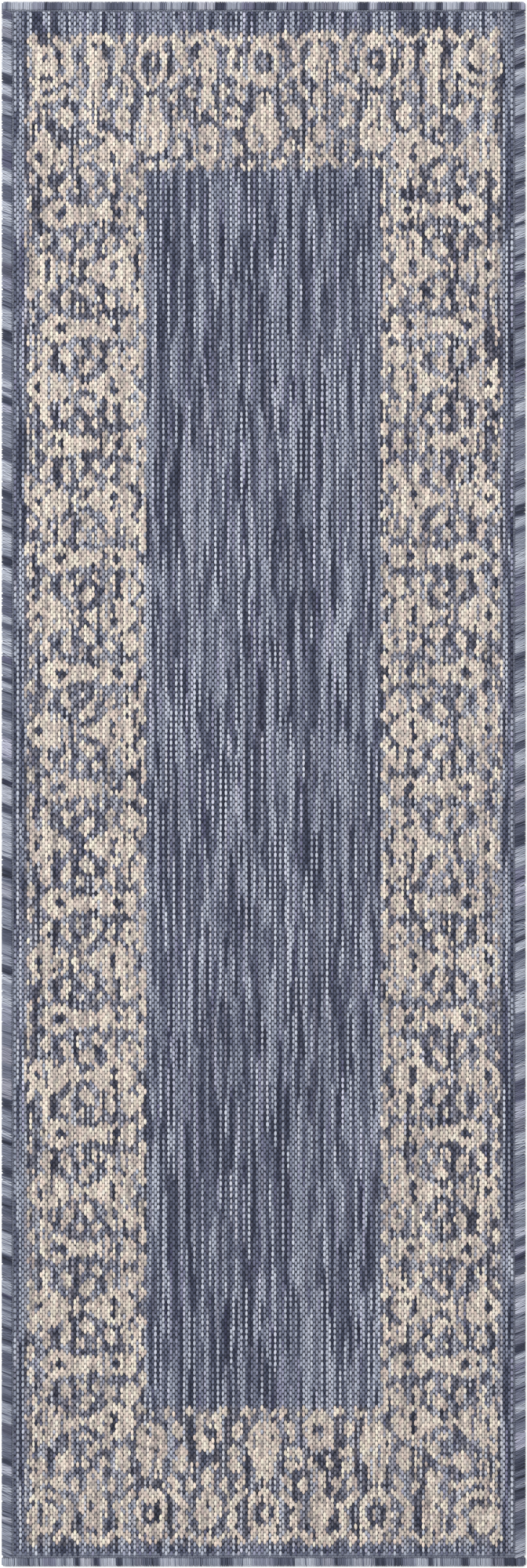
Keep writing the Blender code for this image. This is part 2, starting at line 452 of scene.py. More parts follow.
def side_flowers(a, t):
    """(cream, heather, navy) of the side border. a runs in from its outer edge, and t away from the
    middle of a medallion."""
    half = SIDE_REPEAT / 2
    # Insides of the medallions and palmettes, then edge buds, leaves and two stems.
    heather = ovals(
        a, t, (28, 0, 21, 18), (37, half, 19, 15), (92, half, 8.5, 13.5), (108, 0, 15, 17),
        (119, 32, 9, 11), (107, half, 7.5, 11),
        (6, 53, 3.4, 7.5), (6, 24, 3.4, 6), (134, 32, 2.6, 9),
        (82, 42.5, 3.8, 6.5, -35), (62, 42, 3.6, 5), (58, 0, 3.2, 10),
    )
    heather |= stroke(a, t, 4, (20.5, 19), (21.5, 31)) | stroke(a, t, 4, (99, 19), (97, 29))
    # Hearts and petals, then slanted leaves, edge buds, the rims of the flowers and a fan.
    cream = ovals(
        a, t, (46, 0, 2.6, 9), (35.6, 0, 3, 7), (115.5, 0, 7.6, 7.4), (66, half, 17, 8.4),
        (119.5, half, 8, 12.5),
        (23, 38, 4.2, 9, 19), (46.5, 32.4, 3.9, 10.6, -17), (71, 22.8, 5.4, 10.2, 41),
        (98, 34.6, 3.9, 7.6, 28), (134.5, 52, 3.2, 8), (133.8, 15.4, 3.4, 5.6),
    )
    cream |= ring(a, t, 25.6, 0, 22.8, 20.5, 5) & (a < 27)
    cream |= ring(a, t, 103.2, 0, 21.9, 19.6, 4.2) & (a > 90)
    cream |= ring(a, t, 119.4, 32, 9, 12.2, 4) & ~((a < 116) & (t > 33))
    cream |= ring(a, t, 37, half, 18.5, 15, 6)
    cream |= (a > 63) & (a < 96) & (t < (a - 61) * 0.5)
    # Eyes of the flowers, then dark lines beside the leaves.
    navy = ovals(
        a, t, (14, 0, 2.4, 3.4), (40, half, 3.8, 4.2), (106.5, half, 3.4, 4.6), (101.5, 6, 2, 4),
        (34, 34, 1.2, 7), (86, 30, 1.2, 6, 38), (13, 53, 1.6, 4), (57, 30, 1, 5, -12),
    )
    return cream, heather, navy


def end_column(d, b, corner):
    """(cream, heather, navy) of the narrow palmette column of an end border. d runs out from its
    middle and b in from the border's outer edge. The corner's is shorter and stands on two feet."""
    heather = ovals(d, b, (0, 6, 9.5, 8), (0, 41, 15.5, 13.5), (0, 36, 15, 9))
    cream = ovals(d, b, (0, 25, 8.6, 11.5), (0, 54, 5.5, 6))
    navy = oval(d, b, 0, 12.5, 1.4, 2)
    if corner:
        heather |= ovals(d, b, (0, 58, 8, 14), (0, 76, 8.6, 8), (12, 92, 4.6, 6))
        cream |= stroke(d, b, 6, (0, 50), (0, 72)) | oval(d, b, 5.5, 77, 2.6, 5)
        return cream, heather, navy
    heather |= ovals(d, b, (0, 64, 5, 6), (9, 92, 4.4, 5), (0, 129, 15.5, 22.5))
    cream |= ovals(d, b, (0, 75.5, 7, 7.4), (0, 114.5, 5, 5.5))
    cream |= stroke(d, b, 6, (13.5, 141), (5, 149), (0, 150))
    navy |= ovals(d, b, (0, 97, 5.5, 5), (0, 131, 2.4, 4))
    return cream, heather, navy


def end_flowers(c, b):
    """(cream, heather, navy) of an end border. c runs out from the middle of an oval flower, and b in
    from the border's outer edge."""
    # Hearts and leaves, the rims of the two oval flowers, then arches and stems.
    cream = ovals(
        c, b, (0, 13, 6, 6.5), (37, 28, 5, 8.2), (46, 67, 3.8, 6.6, 8), (27, 71, 3.8, 8, -33),
        (33, 90.5, 7.4, 5.6), (35, 105, 8, 5.6), (31, 132, 4.8, 9.6, -15),
    )
    cream |= ring(c, b, 0, 35.5, 18, 27.2, 5.6)
    cream |= ring(c, b, 0, 117, 18.6, 21.6, 5) & (b > 100)
    cream |= stroke(c, b, 5.2, (56, 0), (46, 8.9), (37, 12.5), (29.5, 9), (25, 2))
    cream |= stroke(c, b, 6, (42.5, 41.5), (34, 46), (27.5, 53), (22.5, 58.5))
    cream |= stroke(c, b, 4.6, (0, 91), (0, 116)) | stroke(c, b, 4.4, (8, 92), (15, 106))
    # Insides of the flowers, then edge buds and a stem.
    heather = ovals(
        c, b, (0, 117, 18.6, 21.6), (0, 84, 10, 13), (0, 98, 12, 12), (0, 30.5, 3.2, 6.5),
        (0, 50.5, 9, 8.5),
        (13.5, 6.5, 4, 4), (0, 5, 6, 4), (18.5, 152, 7.6, 4.4), (46.5, 153, 6, 4.2),
        (0, 151.5, 2.8, 5.5),
    )
    heather |= stroke(c, b, 4, (37, 14), (37, 20))
    navy = ring(c, b, 0, 34, 9, 11.5, 3) & (b < 44)
    navy |= ovals(c, b, (20.5, 90, 1.2, 6), (0, 67.5, 6, 1), (50, 20, 1.6, 5))
    return cream, heather, navy


def corner_flowers(a, b):
    """(cream, heather, navy) of a corner of the border, in from its two outer edges."""
    heather = ovals(
        a, b, (19, 31, 17, 15.5), (18, 90, 7, 7), (6, 92, 3.4, 5), (8, 110, 3.8, 6), (20, 118, 7, 5),
        (10, 78, 6, 3), (64, 92, 4.8, 5),
    )
    heather |= stroke(a, b, 4, (60, 44), (68, 58)) | stroke(a, b, 7, (82, 112), (100, 118))
    # Buds and leaves, half a rim, then an arch at the end and two long stems.
    cream = ovals(
        a, b, (7, 5, 3.8, 6), (20, 16, 8.6, 5), (47.5, 27, 5, 8), (57, 66.5, 4, 6.4, -12),
        (44.5, 94.5, 8.4, 10.5, 30), (112, 92, 7.4, 7), (112, 104.5, 7.4, 6.4), (76, 107, 5.4, 5.4, 30),
    )
    cream |= ring(a, b, 19, 31, 16.8, 15.5, 3) & (b < 40)
    cream |= stroke(a, b, 5.4, (33.5, 3), (42, 12), (51, 12.5), (61, 2))
    cream |= stroke(a, b, 6.6, (52, 39), (46, 46), (37, 53), (25, 57.5), (13, 56), (6, 51))
    cream |= stroke(a, b, 6.6, (46, 64.5), (37, 70), (25, 72.5), (15, 71), (9, 66))
    navy = ovals(
        a, b, (25, 49, 7, 1.2), (25, 65, 6, 0.6), (58, 84, 2.4, 4), (60, 24, 2, 5), (62, 102, 2, 2.4),
        (28, 103, 3, 5),
    )
    return cream, heather, navy


def flower_border(x, y):
    """(cream, heather, navy, in the border) of each float, for places in millimetres from the
    middle."""
    half_width, half_length = HALF_WIDTH / MM, HALF_LENGTH / MM
    y = y - HEAD_SKEW * (x / half_width) * np.clip(y / half_length, 0, 1)
    middle = (BORDER_FROM_FOOT - BORDER_FROM_HEAD) / 2
    reach = half_length - (BORDER_FROM_FOOT + BORDER_FROM_HEAD) / 2
    from_middle = np.abs(y - middle)
    a = half_width - BORDER_FROM_SIDE - np.abs(x)
    b = reach - from_middle
    t = np.abs((from_middle + SIDE_REPEAT / 2) % SIDE_REPEAT - SIDE_REPEAT / 2)
    t = SIDE_REPEAT / 2 - t
    c = np.abs((np.abs(x) + END_REPEAT / 2) % END_REPEAT - END_REPEAT / 2)
    d = np.abs(np.abs(x) % END_REPEAT - END_REPEAT / 2)
    in_side_width = a < BORDER_WIDTH + 1
    in_end_depth = b < END_BORDER_DEPTH + 2
    side_zone = (b > CORNER_DEPTH) & (a < CORNER_WIDTH) | (b > SIDE_FULL_FROM) & in_side_width
    corner_zone = (b <= CORNER_DEPTH) & (a < CORNER_WIDTH)
    end_zone = in_end_depth & ~side_zone & ~corner_zone
    inside = (a > -2) & (b > -3) & (in_side_width | in_end_depth)
    flower_in_corner = corner_zone & (a > CORNER_FLOWER_EDGE) & (b < CORNER_FLOWER_TOP)
    from_column = np.abs(a - CORNER_COLUMN)
    column_in_corner = corner_zone & (from_column < CORNER_COLUMN_HALF) & (b < CORNER_COLUMN_TOP)
    found = [np.zeros(x.shape, bool) for colour in ("cream", "heather", "navy")]
    for zone, flowers in (
        (side_zone, side_flowers(a, t)),
        (end_zone, end_flowers(c, b)),
        (end_zone, end_column(d, b, False)),
        (corner_zone, corner_flowers(a, b)),
        (flower_in_corner, end_flowers(CORNER_FLOWER - a, b)),
        (column_in_corner, end_column(from_column, b, True)),
    ):
        for laid, wanted in zip(found, flowers):
            laid |= zone & wanted
    return (*(laid & inside for laid in found), inside)


def streaks(luck, ends, places, typical, blend):
    """Tone along each yarn, from -1 to 1: level lengths of chance, joined by short changes. Lengths
    are in millimetres, and the yarn starts well before the rug and ends well after it."""
    yarn_length = 3000
    run_in = 1000
    tones = np.empty((ends, len(places)))
    for end in range(ends):
        lengths = blend + luck.gamma(2.0, typical / 2, int(yarn_length / typical) + 8)
        stops = np.cumsum(lengths) - run_in - luck.uniform(0, 3 * typical)
        levels = luck.uniform(-1, 1, len(stops))
        at = np.stack([stops[:-1] + blend / 2, stops[1:] - blend / 2], axis=1).ravel()
        tones[end] = np.interp(places, at, np.repeat(levels[1:], 2))
    return tones


warp_luck = np.random.default_rng(29)
end_pitch = 2 * FACE_HALF_WIDTH / WARP_ENDS
end_number, float_number = np.meshgrid(np.arange(WARP_ENDS), np.arange(FLOATS_PER_END), indexing="ij")
half_step = 0.5 * (end_number % 2)
float_x = (end_number - (WARP_ENDS - 1) / 2) * end_pitch
float_y = (float_number + 0.5 + half_step) * FLOAT_PITCH - FACE_HALF_LENGTH
present = float_number + half_step < FLOATS_PER_END - 0.4
cream_here, heather_here, navy_here, in_border = flower_border(float_x / MM, float_y / MM)

# Dye tone of the blue yarn, from 0 darkest to 1 palest. A yarn's streaks go the other way from its
# neighbours' a little, since two alike are seldom put side by side.
BLUE_TONE = 0.575
STREAK_SPAN = 0.38
BESIDE_SHARE = 0.15
BROAD_SPAN = 0.03
BORDER_DARKER = 0.04
TONE_SPECKLE = 0.035
NAVY_TONE_SHARE = 0.56
BROAD_ENDS = 8
along_places = (np.arange(FLOATS_PER_END) + 0.5) * FLOAT_PITCH / MM - FACE_HALF_LENGTH / MM
own_tone = streaks(warp_luck, WARP_ENDS, along_places, 52, 14)
broad_tone = streaks(warp_luck, WARP_ENDS // BROAD_ENDS, along_places, 70, 60)
broad_tone = np.repeat(broad_tone, BROAD_ENDS, axis=0)
beside = 0.5 * (np.roll(own_tone, 1, axis=0) + np.roll(own_tone, -1, axis=0))
tone = BLUE_TONE + STREAK_SPAN * (own_tone - BESIDE_SHARE * beside) + BROAD_SPAN * broad_tone
tone -= BORDER_DARKER * in_border
tone += warp_luck.normal(0, TONE_SPECKLE, tone.shape)
tone = np.where(navy_here & ~cream_here, NAVY_TONE_SHARE * tone, tone)
accent = 0.5 + 0.5 * streaks(warp_luck, WARP_ENDS, along_places, 45, 8)

# How likely a float is cream in each part of the border, and how much cream shows in a float of
# either yarn, as fibres of one cling to the other.
CREAM_CHANCE = {"cream": 0.985, "heather": 0.77, "navy": 0.04, "ground": 0.06}
CREAM_FLOAT_SHARE = 0.96
NAVY_FLOAT_SHARE = 0.10
BLUE_FLOAT_SHARE = 0.15
SHARE_SPECKLE = 0.08
cream_chance = np.where(heather_here, CREAM_CHANCE["heather"], CREAM_CHANCE["ground"] * in_border)
cream_chance = np.where(cream_here, CREAM_CHANCE["cream"], cream_chance)
cream_chance = np.where(navy_here, CREAM_CHANCE["navy"], cream_chance)
is_cream = 0.5 + 0.5 * streaks(warp_luck, WARP_ENDS, along_places, 15, 1) < cream_chance
cream_share = np.where(navy_here, NAVY_FLOAT_SHARE, BLUE_FLOAT_SHARE * in_border)
cream_share = np.where(is_cream, CREAM_FLOAT_SHARE, cream_share)
cream_share += warp_luck.normal(0, SHARE_SPECKLE, tone.shape) * in_border
cream_share = np.clip(cream_share, 0, 1)

CREAM_TONE = 0.66
CREAM_STREAK_SPAN = 0.30
CREAM_SPECKLE = 0.10
cream_tone = CREAM_TONE + CREAM_STREAK_SPAN * streaks(warp_luck, WARP_ENDS, along_places, 40, 8)
cream_tone += warp_luck.normal(0, CREAM_SPECKLE, tone.shape)
yarn_tone = np.clip(np.where(is_cream, cream_tone, tone), 0, 1)
back_tone = np.clip(np.where(is_cream, tone, cream_tone), 0, 1)
accent = np.where(is_cream, warp_luck.random(tone.shape), accent)

# Half of a float's corners on the face, turning round it: across, along (shares of its width and
# pitch), height and depth in the weave, which sets its painted shade. The ends dive under the next
# pick and are painted darkest. The bulkier cream yarn slopes more softly to its rim, reaches further
# over its neighbours and its painted shade falls off more evenly all round.
BLUE_RIM = (
    (0.5, -0.20, 0.35, 0.80), (0.5, 0.20, 0.35, 0.80),
    (0.17, 0.49, -0.15, 0.0), (-0.17, 0.49, -0.15, 0.0),
)
BLUE_SHOULDER = (
    (0.38, -0.18, 0.86, 1.0), (0.38, 0.18, 0.86, 1.0),
    (0.16, 0.355, 0.62, 0.80), (-0.16, 0.355, 0.62, 0.80),
)
CREAM_RIM = (
    (0.5, -0.25, 0.40, 0.50), (0.5, 0.25, 0.40, 0.50),
    (0.15, 0.53, -0.02, 0.40), (-0.15, 0.53, -0.02, 0.40),
)
CREAM_SHOULDER = (
    (0.34, -0.22, 0.88, 0.96), (0.34, 0.22, 0.88, 0.96),
    (0.14, 0.40, 0.66, 0.86), (-0.14, 0.40, 0.66, 0.86),
)
BACK_RIM = ((0.5, 0), (0.28, 0.5), (-0.28, 0.5), (-0.5, 0), (-0.28, -0.5), (0.28, -0.5))
CROWN = (0.0, 0.0, 1.0, 1.0)


def turned_round(half_ring):
    """A whole ring of corners from its first half."""
    return [*half_ring, *((-p, -q, height, depth) for p, q, height, depth in half_ring)]


def ring_quads(corners):
    """Quads from a ring of corners to the next ring."""
    here = np.arange(corners)
    ahead = (here + 1) % corners
    return np.stack([here, ahead, ahead + corners, here + corners], axis=1)


front = np.array([*turned_round(BLUE_RIM), *turned_round(BLUE_SHOULDER), CROWN])
cream_front = np.array([*turned_round(CREAM_RIM), *turned_round(CREAM_SHOULDER), CROWN])
# The back's floats are painted in shade towards their rim (depth 0.2 there, 1 in the middle).
back = np.array([*((p, q, 0.0, 0.2) for p, q in BACK_RIM), CROWN])
rim_corners = 2 * len(BLUE_RIM)
back_corners = len(BACK_RIM)
shoulder = np.arange(rim_corners) + rim_corners
next_shoulder = np.roll(shoulder, -1)
front_quads = ring_quads(rim_corners)
front_crown = np.stack([shoulder, next_shoulder, np.full(rim_corners, 2 * rim_corners)], axis=1)
back_ring = np.arange(back_corners)
back_crown = np.stack([np.roll(back_ring, -1), back_ring, np.full(back_corners, back_corners)], axis=1)
back_crown = back_crown + len(front)
points_per_float = len(front) + len(back)

# What the loom can't keep even: sizes vary by a share, places by a length. The border's floats
# wander more, as their yarns cross between face and back.
width_share = BLUE_WIDTH + cream_share * (CREAM_WIDTH - BLUE_WIDTH)
float_width = end_pitch * width_share * warp_luck.normal(1, 0.06, tone.shape)
float_length = FLOAT_PITCH * warp_luck.normal(1, 0.03, tone.shape)
float_height = FLOAT_HEIGHT * warp_luck.normal(1, 0.10, tone.shape)
sway = 0.22 * MM * streaks(warp_luck, WARP_ENDS, along_places, 40, 25)
float_x = float_x + sway + warp_luck.normal(0, 0.07 * MM, tone.shape)
float_y = float_y + warp_luck.normal(0, 1, tone.shape) * (0.16 + 0.08 * in_border) * MM
slub = warp_luck.normal(0, 1, tone.shape) * (0.03 + 0.05 * in_border)
lean = warp_luck.normal(0, 0.05, tone.shape)

CREAM_STOPS = (
    (0.00, (50, 49, 54)),
    (0.15, (96, 92, 93)),
    (0.30, (148, 140, 137)),
    (0.55, (184, 172, 163)),
    (0.80, (206, 194, 181)),
    (1.00, (222, 213, 198)),
)
warp_material = yarn_material(
    "cream_and_blue_warp_yarn", stretch=(1700, 380, 1700), twist=0.45, deepest=0.12,
    gloss=(0.60, 0.88), bump=0.55, bump_depth=0.18 * MM, cream=CREAM_STOPS,
)
# The bake sheet: the face's yarns lie in so many lengths on its lower part, the back's above them.
FACE_FOLDS = 6
FACE_SHEET = 0.685
BACK_FOLDS = 9
BACK_SHEET = 0.29
BACK_SHEET_START = 0.70


def warp_section(number):
    """One section of the warp: the floats of 24 ends side by side, face and back."""
    ends = slice(number * SECTION_ENDS, (number + 1) * SECTION_ENDS)
    keep = present[ends]

    def kept(values):
        return values[ends][keep][:, None]

    is_back = np.arange(points_per_float) >= len(front)
    bulk = kept(cream_share)[..., None]
    shape = bulk * np.concatenate([cream_front, back]) + (1 - bulk) * np.concatenate([front, back])
    p = shape[..., 0] * kept(float_width)
    q = shape[..., 1] * kept(float_length)
    middle = kept(float_y) + np.where(is_back, 0.5 * FLOAT_PITCH, 0.0)
    face_z = FLOAT_BASE + shape[..., 2] * kept(float_height)
    back_z = BACK_BASE - shape[..., 2] * BACK_HEIGHT
    points = np.empty(p.shape + (3,))
    points[..., 0] = kept(float_x) + p - kept(lean) * q
    points[..., 1] = np.clip(middle + q + kept(lean) * p, -FACE_HALF_LENGTH, FACE_HALF_LENGTH)
    points[..., 2] = np.where(is_back, back_z, face_z)
    slubbed = np.clip(kept(yarn_tone) + kept(slub) * np.sign(q), 0, 1)
    yarn = np.empty(p.shape + (4,))
    yarn[..., 0] = np.where(is_back, 1 - kept(cream_share), kept(cream_share))
    yarn[..., 1] = np.where(is_back, kept(back_tone), slubbed)
    yarn[..., 2] = shape[..., 3]
    yarn[..., 3] = np.clip(kept(accent), 0, 1)
    first = np.arange(len(p))[:, None, None] * points_per_float
    quads = (first + front_quads).reshape(-1, 4)
    crowns = (first + np.concatenate([front_crown, back_crown])).reshape(-1, 3)
    along = (points[..., 1] + FACE_HALF_LENGTH) / (2 * FACE_HALF_LENGTH)
    low = (number * SECTION_ENDS - WARP_ENDS / 2) * end_pitch
    across = np.clip((points[..., 0] - low) / (SECTION_ENDS * end_pitch), 0, 1)
    float_along = (middle + FACE_HALF_LENGTH) / (2 * FACE_HALF_LENGTH)
    face_turn = np.clip(float_along * FACE_FOLDS, 0, FACE_FOLDS - 1).astype(int)
    back_turn = np.clip(float_along * BACK_FOLDS, 0, BACK_FOLDS - 1).astype(int)
    face_map = folded_map(along, across, FACE_FOLDS, face_turn) * (1.0, FACE_SHEET)
    back_map = folded_map(along, across, BACK_FOLDS, back_turn) * (1.0, BACK_SHEET)
    back_map += (0.0, BACK_SHEET_START)
    bake_map = np.where(is_back[None, :, None], back_map, face_map)
    name = f"warp_section_{number + 1}"
    piece = yarn_mesh(name, warp_material, points, [quads, crowns], yarn, bake_map)
    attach(piece, "root")
    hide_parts("woven_ground")
    return piece


warp_sections = [warp_section(number) for number in range(WARP_ENDS // SECTION_ENDS)]

# ---------------------------------------------------------------------------------------------
# Side serging: thick space-dyed yarn wrapped over the rug's long edges by machine, so closely that
# the wraps touch. Each wrap slants and ends in a needle hole at the band's inner edge.
# ---------------------------------------------------------------------------------------------

WRAP_PITCH = 1.55 * MM
WRAP_HALF_WIDTH = 0.75 * MM
WRAP_HALF_THICK = 0.46 * MM
WRAP_SIDES = 6
SIDE_SLANT = tan(radians(19))
UNDER_SLANT = 0.55  # of the slant on top
SIDE_RUN_ON = 0.6 * MM  # the side wraps run on into the groove beside the end bands
DYE_TONES = (0.92, 0.82, 0.71, 0.57, 0.42, 0.25)
DYE_SHARES = (0.20, 0.22, 0.20, 0.16, 0.12, 0.10)
LEAST_CHANGE = 0.12  # of tone from one patch to the next
SINGLE_DARK_WRAPS = 0.07
# A wrap's path over the edge: how far in from the rug's outer edge, and how high.
WRAP_PATH = np.array([
    (12.7, 2.75), (12.3, 3.70), (11.2, 4.15), (7.0, 4.32), (2.9, 4.20), (1.25, 3.75),
    (0.47, 2.90), (0.47, 1.60), (1.20, 0.75), (3.20, 0.47), (11.0, 0.47), (12.5, 0.95),
]) * MM
OVER_THE_TOP = 7  # places on the path before it turns under


def dyed_patches(luck, wraps):
    """Tone and accent of a space-dyed serging yarn, wrap by wrap: patches of one tone, with now and
    then a single dark wrap."""
    tones, accents = [], []
    last = 0.5
    while len(tones) < wraps + 2:
        tone_here = luck.choice(DYE_TONES, p=DYE_SHARES)
        if abs(tone_here - last) < LEAST_CHANGE:
            continue
        shorter = 0.6 if tone_here < 0.35 else 1.0
        run = int(luck.integers(5, 17) * shorter)
        tones += list(tone_here + luck.normal(0, 0.035, run))
        accents += [luck.random()] * run
        last = tone_here
    tones = np.array(tones[:wraps + 1])
    tones = np.convolve(np.pad(tones, 1, mode="edge"), (0.2, 0.6, 0.2), mode="valid")
    tones += luck.normal(0, 0.05, wraps + 1)
    single = luck.random(wraps + 1) < SINGLE_DARK_WRAPS
    tones[single] -= luck.uniform(0.25, 0.5, single.sum())
    return np.clip(tones, 0.02, 1.0), np.array(accents[:wraps + 1])


def wrapped_band(luck, first, last, band_width, slant, edge_at):
    """Wraps side by side from first to last along an edge. Gives (inwards, along, up) of each point,
    the faces, each point's yarn record and its place on the bake sheet. edge_at gives how far the
    outer edge is set in."""
    wraps = int((last - first) / WRAP_PITCH)
    along = first + (np.arange(wraps) + 0.5) * (last - first) / wraps
    reach = band_width - luck.gamma(2.0, 0.16, wraps) * MM
    rings = len(WRAP_PATH)
    path_in = WRAP_PATH[:, 0] * np.ones((wraps, 1))
    inset = edge_at(along)[:, None]
    stretch = (reach[:, None] - inset) / (WRAP_PATH[0, 0] + 0.25 * MM)
    path_in = np.where(path_in > 5 * MM, path_in * stretch, path_in) + inset
    path_up = WRAP_PATH[:, 1] + luck.normal(0, 0.05 * MM, (wraps, 1))
    path_up = np.maximum(path_up, WRAP_HALF_THICK + 0.01 * MM)
    # On top a wrap slants forward to the edge, and underneath it goes on forward less steeply.
    over = np.arange(rings) < OVER_THE_TOP
    lean = np.where(over, 1.0, -UNDER_SLANT) * slant * (0.5 * band_width - path_in)
    lean += np.where(over, 0, (1 + UNDER_SLANT) * slant * 0.5 * band_width)
    lean *= luck.normal(1, 0.22, (wraps, 1))
    path_along = along[:, None] + lean + luck.normal(0, 0.10 * MM, (wraps, 1))
    run = np.gradient(path_in, axis=1), np.gradient(path_up, axis=1)
    long = np.hypot(*run)
    out_in, out_up = -run[1] / long, run[0] / long
    angle = (np.arange(WRAP_SIDES) + 0.5) / WRAP_SIDES * 2 * pi
    wide = WRAP_HALF_WIDTH * luck.normal(1, 0.05, (wraps, 1, 1)) * np.cos(angle)
    thick = WRAP_HALF_THICK * np.sin(angle)
    taper = np.ones(rings)
    taper[[0, -1]] = 0.62
    wide = wide * taper[:, None]
    points = np.stack([
        path_in[..., None] + out_in[..., None] * thick,
        path_along[..., None] + wide,
        path_up[..., None] + out_up[..., None] * thick,
    ])
    tones, accents = dyed_patches(luck, wraps)
    part = np.linspace(0.5, -0.5, rings)
    at = np.clip(np.arange(wraps)[:, None] + part, 0, wraps)
    yarn = np.zeros(points.shape[1:] + (4,))
    yarn[..., 1] = np.interp(at, np.arange(wraps + 1), tones)[..., None]
    # Painted shade: a wrap darkens at its tucked ends and on its flanks, where it meets its neighbours.
    tucked_end_shade = np.ones(rings)
    tucked_end_shade[[0, -1]] = 0.45
    tucked_end_shade[1] = 0.80
    crown = 0.08 + 0.92 * np.abs(np.sin(angle))
    yarn[..., 2] = tucked_end_shade[:, None] * crown
    yarn[..., 3] = accents[:wraps, None, None]
    whole = (along - along[0]) / (along[-1] - along[0])
    folds = max(2, round(np.sqrt((last - first) / (30 * MM))))
    fold_turn = np.minimum(whole * folds, folds - 1e-6).astype(int)[:, None, None]
    spread = np.broadcast_to(np.linspace(0.02, 0.98, rings)[None, :, None], points.shape[1:])
    width_on_sheet = (points[1] - along[:, None, None]) / (last - first)
    bake_map = folded_map(whole[:, None, None] + 0.5 * width_on_sheet, spread, folds, fold_turn)
    return points, tube_faces(wraps, rings, WRAP_SIDES), yarn, bake_map


def outward(faces):
    """The same faces turned over, for a band made as the mirror image of the other."""
    return [rows[:, ::-1] for rows in faces]


SERGING_YARN = dict(twist=0.35, deepest=0.30, gloss=(0.50, 0.80), bump=0.6, bump_depth=0.16 * MM)
side_serging_material = yarn_material("serging_yarn_sides", (300, 1500, 1500), **SERGING_YARN)
side_luck = np.random.default_rng(43)
side_run = left_band_high[1] + SIDE_RUN_ON
for name, direction in (("left", -1), ("right", 1)):
    (inwards, along, up), faces, yarn, bake_map = wrapped_band(
        side_luck, -side_run, side_run, SIDE_BAND_WIDTH, SIDE_SLANT, np.zeros_like
    )
    points = np.stack([direction * (HALF_WIDTH - inwards), along, up], axis=-1)
    faces = outward(faces) if direction < 0 else faces
    band = yarn_mesh(f"side_wraps_{name}", side_serging_material, points, faces, yarn, bake_map)
    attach(band, "root")
    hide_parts(f"side_serging_{name}")

# ---------------------------------------------------------------------------------------------
# End serging: the same yarn over the head and foot, sewn last, so it runs the full width across
# the ends of the side bands and turns the rug's corners. These wraps lie straight.
# ---------------------------------------------------------------------------------------------

CORNER_RADIUS = 4.0 * MM
END_CLEARANCE = 0.1 * MM  # of the outermost wraps' middles inside the rug's sides
end_serging_material = yarn_material("serging_yarn_ends", (1500, 300, 1500), **SERGING_YARN)


def corner_inset(along):
    """How far the rounded corner sets the edge in, at places along an end."""
    past = np.clip(np.abs(along) - (HALF_WIDTH - CORNER_RADIUS), 0, CORNER_RADIUS * 0.98)
    return CORNER_RADIUS - np.sqrt(CORNER_RADIUS**2 - past**2)


end_luck = np.random.default_rng(57)
end_run = HALF_WIDTH - END_CLEARANCE
for name, direction in (("head", 1), ("foot", -1)):
    (inwards, along, up), faces, yarn, bake_map = wrapped_band(
        end_luck, -end_run, end_run, END_BAND_WIDTH, 0.0, corner_inset
    )
    points = np.stack([along, direction * (HALF_LENGTH - inwards), up], axis=-1)
    faces = outward(faces) if direction > 0 else faces
    band = yarn_mesh(f"end_wraps_{name}", end_serging_material, points, faces, yarn, bake_map)
    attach(band, "root")
    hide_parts(f"end_serging_{name}")

# ---------------------------------------------------------------------------------------------
# Needle threads: a hard fine thread sewn down the groove beside each band, one short stitch after
# another. It holds the pinched edge together under the serging.
# ---------------------------------------------------------------------------------------------

STITCH_PITCH = 3.1 * MM
STITCH_LENGTH = 0.98  # of the pitch
STITCH_RISE = 0.5 * MM
STITCH_SIDES = 6
STITCH_RADIUS = 0.42 * MM
# Along a stitch: place as a share of its length, height over the groove's middle as a share of its
# rise, thickness, and how lit it is.
STITCH_PATH = np.array([
    (-0.50, -0.55, 0.6, 0.2), (-0.40, 0.05, 0.9, 0.7), (-0.15, 0.40, 1.0, 1.0),
    (0.15, 0.40, 1.0, 1.0), (0.40, 0.05, 0.9, 0.7), (0.50, -0.55, 0.6, 0.2),
])
THREAD_TONES = {"left": 0.66, "right": 0.64, "head": 0.66, "foot": 0.60}
thread_luck = np.random.default_rng(71)


def stitch_row(first, last, tone_level):
    """Stitches end to end from first to last: (across, along, up) of each point, the faces, each
    point's yarn record and its place on the bake sheet."""
    count = int((last - first) / STITCH_PITCH)
    pitch = (last - first) / count
    middle = first + (np.arange(count) + 0.5) * pitch
    rings = len(STITCH_PATH)
    along = middle[:, None] + STITCH_PATH[:, 0] * pitch * STITCH_LENGTH
    up = STITCH_PATH[:, 1] * STITCH_RISE + thread_luck.normal(0, 0.04 * MM, (count, 1))
    slew = thread_luck.normal(0, 0.12 * MM, (count, 2))
    across = slew[:, :1] + (slew[:, 1:] - slew[:, :1]) * (STITCH_PATH[:, 0] + 0.5)
    angle = (np.arange(STITCH_SIDES) + 0.5) / STITCH_SIDES * 2 * pi
    thick = STITCH_PATH[:, 2:3] * STITCH_RADIUS
    points = np.stack([
        across[..., None] + thick * np.cos(angle),
        np.broadcast_to(along[..., None], (count, rings, STITCH_SIDES)),
        up[..., None] + thick * np.sin(angle),
    ])
    yarn = np.zeros(points.shape[1:] + (4,))
    yarn[..., 1] = np.clip(tone_level + thread_luck.normal(0, 0.05, (count, 1, 1)), 0, 1)
    yarn[..., 2] = STITCH_PATH[:, 3:]
    yarn[..., 3] = 0.5
    share = (points[1] - first) / (last - first)
    folds = max(2, round(np.sqrt((last - first) / (3 * MM))))
    whole = (middle - first) / (last - first)
    fold_turn = np.minimum(whole * folds, folds - 1e-6).astype(int)[:, None, None]
    round_it = np.broadcast_to(np.linspace(0.05, 0.95, STITCH_SIDES), points.shape[1:])
    bake_map = folded_map(share, round_it, folds, fold_turn)
    return points, tube_faces(count, rings, STITCH_SIDES), yarn, bake_map


